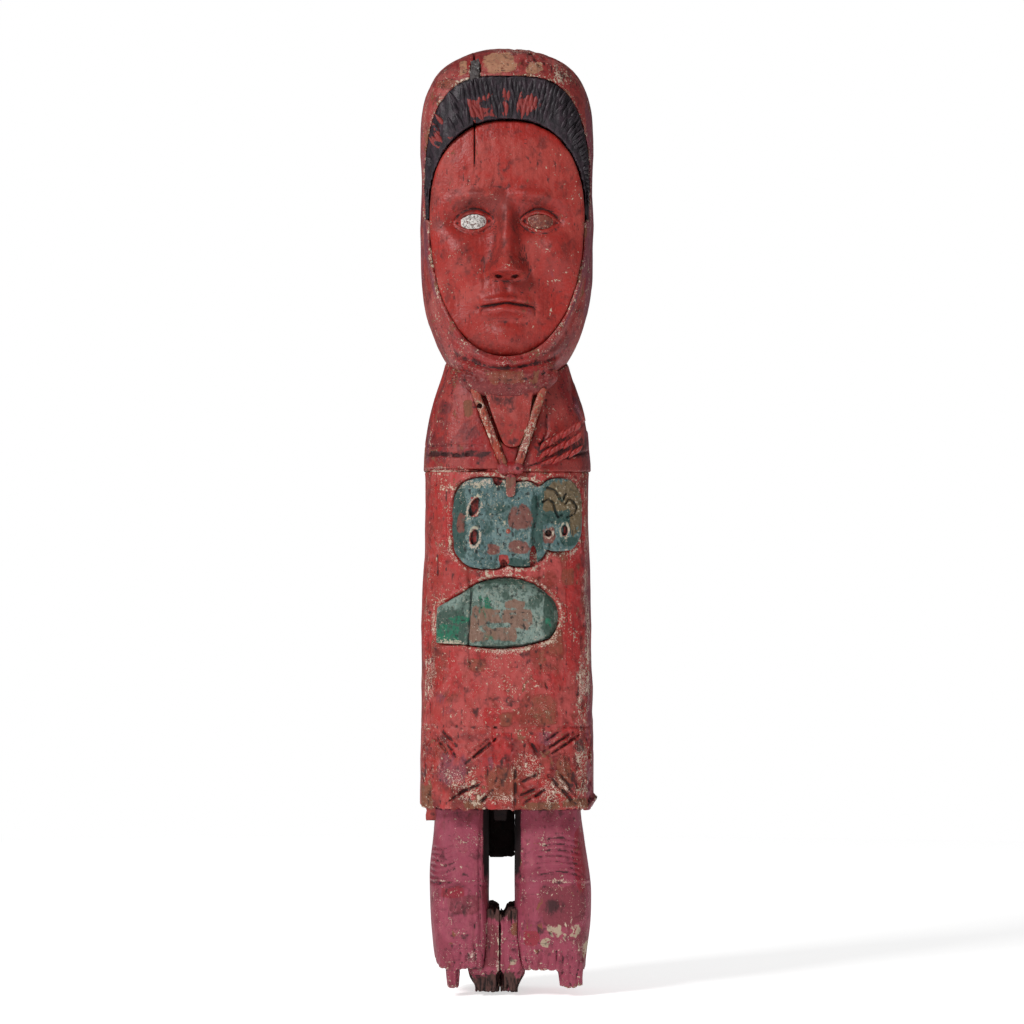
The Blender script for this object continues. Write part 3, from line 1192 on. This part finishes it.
def hair_paint(ground):
    """Lamp-black oil paint, greyed on the ridges, with the red ground showing through in places."""
    return painted(
        "Black oil paint over red", ground,
        [
            Coat("#382a32", 7.0, 0.54, 0.1, {"edge": 0.1}, 1.4, 0.8, 0.0, 0.45),
            Coat("#86302c", 9.0, 0.72, 0.04, {"crimson": 0.32}, 1.2, 0.9, 0.05, 0.45, (40.0, 0.5)),
            Coat("#5c5560", 2.4, 0.72, 0.05, {"edge": 0.12}, 1.0, 0.6, 0.0, 0.5),
            Coat("#18131a", 6.0, 0.8, 0.1, {"crease": 0.6, "hollow": 0.2}, 1.4, 0.9, 0.0, 0.7),
        ],
        0.48,
    )


def putty_paint(ground):
    """Old dark filler in the drying crack, crazed, with pale grit in it."""
    return painted(
        "Crackled dark filler", ground,
        [
            Coat("#8c8a88", 2.6, 0.6, 0.03, {}, 1.0, 0.9, -0.2, 0.8),
            Coat("#2c2626", 4.0, 0.58, 0.05, {"crease": 0.4}, 1.0, 0.8, 0.0, 0.8),
        ],
        0.75,
    )


def plate_finish(name, ground, flake, deep, level):
    """A worn inlay plate of the eye: paint or foil that flakes off over a darker bed."""
    return painted(
        name, ground,
        [
            Coat(deep, 4.0, 0.58, 0.04, {"crease": 0.3}, 1.0, 0.85, -0.1, 0.6),
            Coat(flake, 1.8, level, 0.03, {"edge": 0.1}, 1.0, 0.95, 0.1, 0.35),
            Coat("#2b2022", 1.6, 0.66, 0.03, {"crease": 0.2}, 1.0, 0.8, -0.1, 0.7),
        ],
        0.4,
    )


def verdigris_paint(name, ground, light, dark, under, primer):
    """Blue-green oil paint over red and dark green coats, rubbed through on every raised part."""
    rubbed, flaked = {"edge": 0.1}, (1.2, 0.9, -0.1, 0.6, (20.0, 0.4))
    return painted(
        name, ground,
        [
            Coat(light, 13.0, 0.53, 0.07, {"pale": 0.3}, 1.3, 0.85, 0.0, 0.45, (40.0, 0.4)),
            Coat(dark, 3.2, 0.55, 0.05, {"dark": 0.15}, 1.2, 0.75, -0.25, 0.4, (16.0, 0.4)),
            Coat("#8a8f83", 2.0, 0.62, 0.04, {"pale": 0.05}, 1.4, 0.7, 0.2, 0.45, (18.0, 0.5)),
            Coat(dark, 14.0, 0.62, 0.06, {"dark": 0.45}, 1.2, 0.9, 0.0, 0.4, (40.0, 0.4)),
            Coat("#14644a", 4.0, 0.72, 0.05, {"emerald": 0.27}, 1.2, 0.9, 0.0, 0.35),
            Coat("#665339", 9.0, 0.78, 0.05, {"olive": 0.45}, 1.2, 0.9, 0.0, 0.55),
            Coat(under, 8.0, 0.75, 0.08, {"bare": 0.34, "edge": 0.08}, 1.3, 0.9, -0.1, 0.55, (30.0, 0.3)),
            Coat("#8f2f2b", 5.0, 0.82, 0.04, {"red": 0.5}, 1.2, 1.0, -0.1, 0.45),
            Coat("#a7a08a", 3.0, 0.74 - 0.03 * primer, 0.03, {"chalk": 0.15, **rubbed}, *flaked),
            Coat("#b9a898", 1.6, 0.72 - 0.02 * primer, 0.02, {"chalk": 0.14, **rubbed}, *flaked),
            Coat("#1a1f1e", 5.0, 0.8, 0.1, {"crease": 0.6, "hollow": 0.2}, 1.2, 0.85, 0.0, 0.65),
        ],
        0.45,
    )


def plum_paint(ground):
    """Dull plum oil paint on the legs, dusty where it has been handled, over a block of rotting wood."""
    return painted(
        "Plum oil paint",
        ground,
        [
            Coat("#943f52", 24.0, 0.5, 0.1, {"dusty": 0.3}, 1.8, 0.8, 0.0, 0.6, (80.0, 0.4)),
            Coat("#722933", 20.0, 0.6, 0.06, {"brown": 0.35}, 1.5, 0.85, 0.0, 0.55, (60.0, 0.4)),
            Coat("#841c29", 12.0, 0.72, 0.05, {"crimson": 0.4}, 1.8, 0.85, 0.05, 0.45, (50.0, 0.3)),
            Coat("#9c4e59", 4.0, 0.64, 0.06, {"dusty": 0.1}, 2.5, 0.5, 0.0, 0.6),
            Coat("#a8957f", 5.0, 0.84, 0.04, {"cream": 0.38}, 1.3, 0.95, 0.1, 0.7),
            *wear(0.9, 0.8),
            Coat("#2e141c", 30.0, 0.8, 0.2, {"soot": 0.34}, 1.5, 0.7, 0.0, 0.7),
            # rotten wood, with the paint gone
            Coat("#4a322c", 6.0, 0.72, 0.07, {"rot": 0.34}, 4.0, 0.95, -0.2, 0.85),
            Coat("#1d1312", 3.0, 0.78, 0.06, {"rot": 0.24, "crease": 0.2}, 8.0, 0.95, -0.2, 0.9),
        ],
        0.55,
    )


def cord_paint(name, ground):
    """Terracotta paint, thick on the cords, worn to cream primer on the edges."""
    return painted(
        name, ground,
        [
            Coat("#8c4a44", 8.0, 0.55, 0.07, {}, 2.0, 0.8, 0.0, 0.5),
            Coat("#8d3036", 6.0, 0.64, 0.05, {"crimson": 0.4}, 1.5, 0.85, 0.0, 0.4),
            Coat("#8d7f60", 4.0, 0.74, 0.05, {"top": 0.14}, 1.2, 0.9, 0.1, 0.7, (20.0, 0.3)),
            *wear(0.55, 0.4),
        ],
    )


# --- panel, settings and operators ---


def spacing_setting(name, description, spacing):
    """A distance property with a default of spacing mm."""
    return FloatProperty(
        name=name, description=description, default=spacing * MM, min=0.6 * MM, max=6 * MM, precision=5,
        subtype="DISTANCE", unit="LENGTH",
    )


def colour_setting(name, description, code):
    """A colour property with an sRGB hex default."""
    return FloatVectorProperty(
        name=name, description=description, default=linear(code), size=3, min=0.0, max=1.0, subtype="COLOR"
    )


class FigureSettings(bpy.types.PropertyGroup):
    """What a user may change before building."""

    detail: spacing_setting("Mesh Spacing", "Distance between mesh points on the front of the body", 1.25)
    face_detail: spacing_setting(
        "Face Spacing", "Distance between mesh points on the face, the cords and the pendants", 0.9
    )
    hood: colour_setting("Hood", "Top coat of the hood", "#90322f")
    face: colour_setting("Face", "Top coat of the face", "#962a24")
    hair: colour_setting("Hair", "Top coat of the hair", "#211a20")
    cloak: colour_setting("Cloak", "Top coat of the cloak", "#982f2a")
    collar: colour_setting("Collar", "Top coat of the collar", "#902621")
    cord: colour_setting("Cord", "Top coat of the cords", "#96402f")
    upper_pendant: colour_setting("Upper Pendant", "Top coat of the upper pendant", "#4b6566")
    lower_pendant: colour_setting("Lower Pendant", "Top coat of the lower pendant", "#5c6f66")
    legs: colour_setting("Legs", "Top coat of the legs and the block", "#823041")


# how much coarser than the settings the largest pieces are meshed, to stay under 200,000 triangles each
HOOD_GRID, FACE_GRID, CLOAK_GRID = 1.15, 1.14, 1.2
SMALL_PITCH, FILLER_PITCH = 0.6, 0.7  # mm between mesh points on the smallest pieces
WRAP_MARGIN = 16.0  # mm that a pendant's flat solid may move as it is laid round the chest


class BuildStep:
    """What every step shares: its place in the undo list and the settings it reads."""

    bl_options = {"REGISTER", "UNDO"}

    def execute(self, context):
        settings = context.scene.figure
        self.build(settings, settings.detail / MM, settings.face_detail / MM)
        return {"FINISHED"}


class FIGURE_OT_hood(BuildStep, bpy.types.Operator):
    """Build the hood and the filler in its crown"""

    bl_idname = "figure.hood"
    bl_label = "Hood"

    def build(self, settings, pitch, fine):
        paint = red_paint("Hood red oil paint", settings.hood, "#8c2423", "#6a2627", "#a0504b", 0.9)
        carved(
            "hood", "head_hood", paint, hood_detail, pitch=pitch * HOOD_GRID, spread=3.2, marks=HOOD_MARKS
        )
        carved(
            "filler", "crown_filler", putty_paint(linear("#4d4646")), filler_detail, pitch=FILLER_PITCH,
            margin=3.0,
        )


class FIGURE_OT_face(BuildStep, bpy.types.Operator):
    """Build the face and its two inlaid eyes"""

    bl_idname = "figure.face"
    bl_label = "Face"

    def build(self, settings, pitch, fine):
        paint = red_paint(
            "Face red oil paint", settings.face, "#9c261f", "#762621", "#a23c34", 0.25, 0.3, 0.3
        )
        carved(
            "face", "face_mask", paint, field=face_field, pitch=fine * FACE_GRID, spread=2.5,
            marks=FACE_MARKS,
        )
        silver = plate_finish("Flaking silver paint", linear("#8b8480"), "#d6d2cd", "#6d4a44", 0.5)
        brown = plate_finish("Brown paint with cream flecks", linear("#7b3f33"), "#c0ab93", "#5b2a26", 0.66)
        carved("left_eye", "eye_left", silver, field=eye_field(-1), pitch=SMALL_PITCH, margin=2.0)
        carved("right_eye", "eye_right", brown, field=eye_field(1), pitch=SMALL_PITCH, margin=2.0)


class FIGURE_OT_hair(BuildStep, bpy.types.Operator):
    """Build the fringe of hair with its carved locks"""

    bl_idname = "figure.hair"
    bl_label = "Hair"

    def build(self, settings, pitch, fine):
        paint = hair_paint(settings.hair)
        marks = {"crimson": HAIR_RED}
        carved("hair", "hair_fringe", paint, hair_detail, pitch=fine, spread=2.0, marks=marks)
        hair_locks(paint)


class FIGURE_OT_collar(BuildStep, bpy.types.Operator):
    """Build the collar of the cloak and its corded edge"""

    bl_idname = "figure.collar"
    bl_label = "Collar"

    def build(self, settings, pitch, fine):
        paint = red_paint("Collar red oil paint", settings.collar, "#8c1d20", "#6b2223", "#983c37", 0.6)
        carved("collar", "cloak_collar", paint, collar_detail, pitch=pitch, spread=3.0, marks=COLLAR_MARKS)
        collar_ropes(paint)


class FIGURE_OT_cords(BuildStep, bpy.types.Operator):
    """Build the chest panel, the two cords, their knot and its tab"""

    bl_idname = "figure.cords"
    bl_label = "Cords"

    def build(self, settings, pitch, fine):
        paint = cord_paint("Terracotta cord oil paint", settings.cord)
        umber = cord_paint("Umber tab oil paint", linear("#6e4a3c"))
        chest = red_paint("Chest red oil paint", settings.collar, "#942f29", "#6b251e", "#a14640", 0.6)
        carved("chest", "chest_panel", chest, chest_detail, pitch=fine, marks=CHEST_MARKS)
        carved("left_cord", "cord_left", paint, cord_detail(-1), pitch=fine, marks=CORD_MARKS)
        carved("right_cord", "cord_right", paint, cord_detail(1), pitch=fine, marks=CORD_MARKS)
        carved(
            "knot", "cord_knot", paint, field=knot_field, pitch=SMALL_PITCH, margin=2.0, marks=KNOT_MARKS
        )
        carved("tab", "cord_tab", umber, tab_detail, pitch=SMALL_PITCH, margin=2.5, marks=KNOT_MARKS)


class FIGURE_OT_pendants(BuildStep, bpy.types.Operator):
    """Build the two flat pendants and the peg of the upper one"""

    bl_idname = "figure.pendants"
    bl_label = "Pendants"

    def build(self, settings, pitch, fine):
        coats = ("#637a79", "#2a4641", "#733f35", 1.2), ("#768880", "#33493f", "#7c5a4b", 0.8)
        upper = verdigris_paint("Upper pendant verdigris paint", settings.upper_pendant, *coats[0])
        lower = verdigris_paint("Lower pendant verdigris paint", settings.lower_pendant, *coats[1])
        for name, node, paint, detail, marks in (
            ("upper_pendant", "tiki_pendant", upper, tiki_detail, PENDANT_MARKS),
            ("lower_pendant", "club_pendant", lower, club_detail, CLUB_MARKS),
        ):
            shape = pendant_field(node, detail)
            carved(name, node, paint, field=shape, pitch=fine, marks=marks, margin=WRAP_MARGIN)
        terracotta = cord_paint("Terracotta peg oil paint", settings.cord)
        carved("peg", "pendant_peg", terracotta, tab_detail, pitch=SMALL_PITCH, margin=2.5)


class FIGURE_OT_cloak(BuildStep, bpy.types.Operator):
    """Build the cloaked trunk"""

    bl_idname = "figure.cloak"
    bl_label = "Cloak"

    def build(self, settings, pitch, fine):
        paint = red_paint("Cloak red oil paint", settings.cloak, "#a22222", "#7a2a1e", "#a94643")
        pendants = [pendant_field(node) for node in ("tiki_pendant", "club_pendant")]

        def crust(x, y, z):
            near = np.minimum(*(pendant(x, y + 2.0, z) for pendant in pendants))
            marked = patches(np.stack((x, y, z), 1), TRUNK_MARKS["chalk"])
            return np.maximum(marked, 0.8 * bump((near - 3.5) / 3.5) * ramp(-y, 30, 40))

        def shade(x, y, z):
            """Maroon mottling over the border and along the arrises."""
            low = 1 - ramp(z, HEM_LINE_Z - 10, HEM_LINE_Z + 4)
            where = np.maximum(low, ramp(np.abs(x), 60, 76) * 0.7) * ramp(-y, 0, 20)
            return 0.62 * where * ramp(noise(x, y, z, (9.0, 9.0, 14.0), 67), -0.5, 0.6)

        marks = {**TRUNK_MARKS, "chalk": crust, "inside": inside_slot, "shade": shade}
        carved(
            "cloak", "trunk_cloak", paint, trunk_detail(pendants), pitch=pitch * CLOAK_GRID, spread=3.4,
            marks=marks,
        )


class FIGURE_OT_legs(BuildStep, bpy.types.Operator):
    """Build the two legs and the two halves of the block between them"""

    bl_idname = "figure.legs"
    bl_label = "Legs and Block"

    def build(self, settings, pitch, fine):
        paint = plum_paint(settings.legs)
        for side in ("left", "right"):
            carved(
                f"{side}_leg", f"leg_{side}", paint, leg_detail(side), pitch=pitch, spread=2.6,
                marks=LEG_MARKS[side],
            )
        for side, marks in PLINTH_MARKS.items():
            carved(
                f"{side}_block", f"plinth_{side}", paint, plinth_detail, pitch=fine, spread=2.0, marks=marks
            )


FLOOR_RADIUS, FLOOR_GLOW = 2.4, 0.6
WORLD_SHEEN = 0.12  # how bright the walls look in the gloss of the paint
WORLD_LIGHT = 0.36  # strength of the even white light; the camera sees the same white at full strength
CAMERA_Y, CAMERA_Z, CAMERA_X = -4.95, 0.481, 0.005
VIEW_WIDTH = 1.024  # metres across the picture at the figure
SENSOR = 36.0  # mm


class FIGURE_OT_stage(bpy.types.Operator):
    """Set up the floor, the lights and the camera"""

    bl_idname = "figure.stage"
    bl_label = "Stage"
    bl_options = {"REGISTER", "UNDO"}

    def execute(self, context):
        floor_disc()
        studio_light(context.scene)
        camera(context.scene)
        return {"FINISHED"}


def floor_disc():
    """A pale floor, wide enough that its far edge is lost in the white around it."""
    material = bpy.data.materials.new("White studio paper")
    material.use_nodes = True
    paper = material.node_tree.nodes["Principled BSDF"]
    paper.inputs["Base Color"].default_value = (0.9, 0.9, 0.9, 1)
    paper.inputs["Roughness"].default_value = 0.9
    paper.inputs["Emission Color"].default_value = (1, 1, 1, 1)
    paper.inputs["Emission Strength"].default_value = FLOOR_GLOW
    count = 96
    turns = [2 * math.pi * step / count for step in range(count)]
    rim = [(math.cos(t) * FLOOR_RADIUS, math.sin(t) * FLOOR_RADIUS, 0) for t in turns]
    mesh = bpy.data.meshes.new("floor")
    mesh.from_pydata(rim, [], [range(count)])
    mesh.materials.append(material)
    floor = bpy.data.objects.new("floor", mesh)
    bpy.context.scene.collection.objects.link(floor)


def studio_light(scene):
    """Soft even light, and a large soft key from the upper left."""
    world = bpy.data.worlds.new("White studio")
    world.use_nodes = True
    tree = world.node_tree
    tree.nodes.clear()
    ray = add(tree, "ShaderNodeLightPath").outputs
    soft = {"Value": ray["Is Glossy Ray"], "To Min": WORLD_LIGHT, "To Max": WORLD_SHEEN}
    light = add(tree, "ShaderNodeMapRange", soft).outputs[0]
    seen = {"Value": ray["Is Camera Ray"], "To Min": light, "To Max": 1.0}
    strength = add(tree, "ShaderNodeMapRange", seen)
    white = add(tree, "ShaderNodeBackground", {"Color": (1, 1, 1, 1), "Strength": strength.outputs[0]})
    add(tree, "ShaderNodeOutputWorld", {"Surface": white.outputs[0]})
    scene.world = world
    for name, place_at, size, power in (
        ("key", (-2.0, -2.4, 2.4), 0.8, 86.0), ("fill", (2.2, -2.8, 0.9), 1.6, 2.0)
    ):
        data = bpy.data.lights.new(name, "AREA")
        data.size, data.energy = size, power
        light = bpy.data.objects.new(name, data)
        light.location = place_at
        aim = Vector((0, 0, 0.5)) - light.location
        light.rotation_euler = aim.to_track_quat("-Z", "Y").to_euler()
        scene.collection.objects.link(light)


def camera(scene):
    """A level camera in front of the figure, at half its height."""
    data = bpy.data.cameras.new("camera")
    data.sensor_width = SENSOR
    data.lens = SENSOR * -CAMERA_Y / VIEW_WIDTH
    eye = bpy.data.objects.new("camera", data)
    eye.location = (CAMERA_X, CAMERA_Y, CAMERA_Z)
    eye.rotation_euler = (math.pi / 2, 0, 0)
    scene.collection.objects.link(eye)
    scene.camera = eye
    scene.view_settings.view_transform = "Standard"


STEPS = ("hood", "face", "hair", "collar", "cords", "pendants", "cloak", "legs", "stage")


class FIGURE_PT_panel(bpy.types.Panel):
    """Lists the settings and the steps."""

    bl_label = "Figure"
    bl_space_type = "VIEW_3D"
    bl_region_type = "UI"
    bl_category = "Figure"

    def draw(self, context):
        settings = context.scene.figure
        for name in FigureSettings.__annotations__:
            self.layout.prop(settings, name)
        for step in STEPS:
            self.layout.operator(f"figure.{step}")


CLASSES = (
    FigureSettings, FIGURE_OT_hood, FIGURE_OT_face, FIGURE_OT_hair, FIGURE_OT_collar, FIGURE_OT_cords,
    FIGURE_OT_pendants, FIGURE_OT_cloak, FIGURE_OT_legs, FIGURE_OT_stage, FIGURE_PT_panel,
)


def register():
    for cls in CLASSES:
        bpy.utils.register_class(cls)
    bpy.types.Scene.figure = PointerProperty(type=FigureSettings)


def unregister():
    del bpy.types.Scene.figure
    for cls in reversed(CLASSES):
        bpy.utils.unregister_class(cls)


def main():
    register()
    for step in STEPS:
        getattr(bpy.ops.figure, step)()


if __name__ == "__main__":
    main()
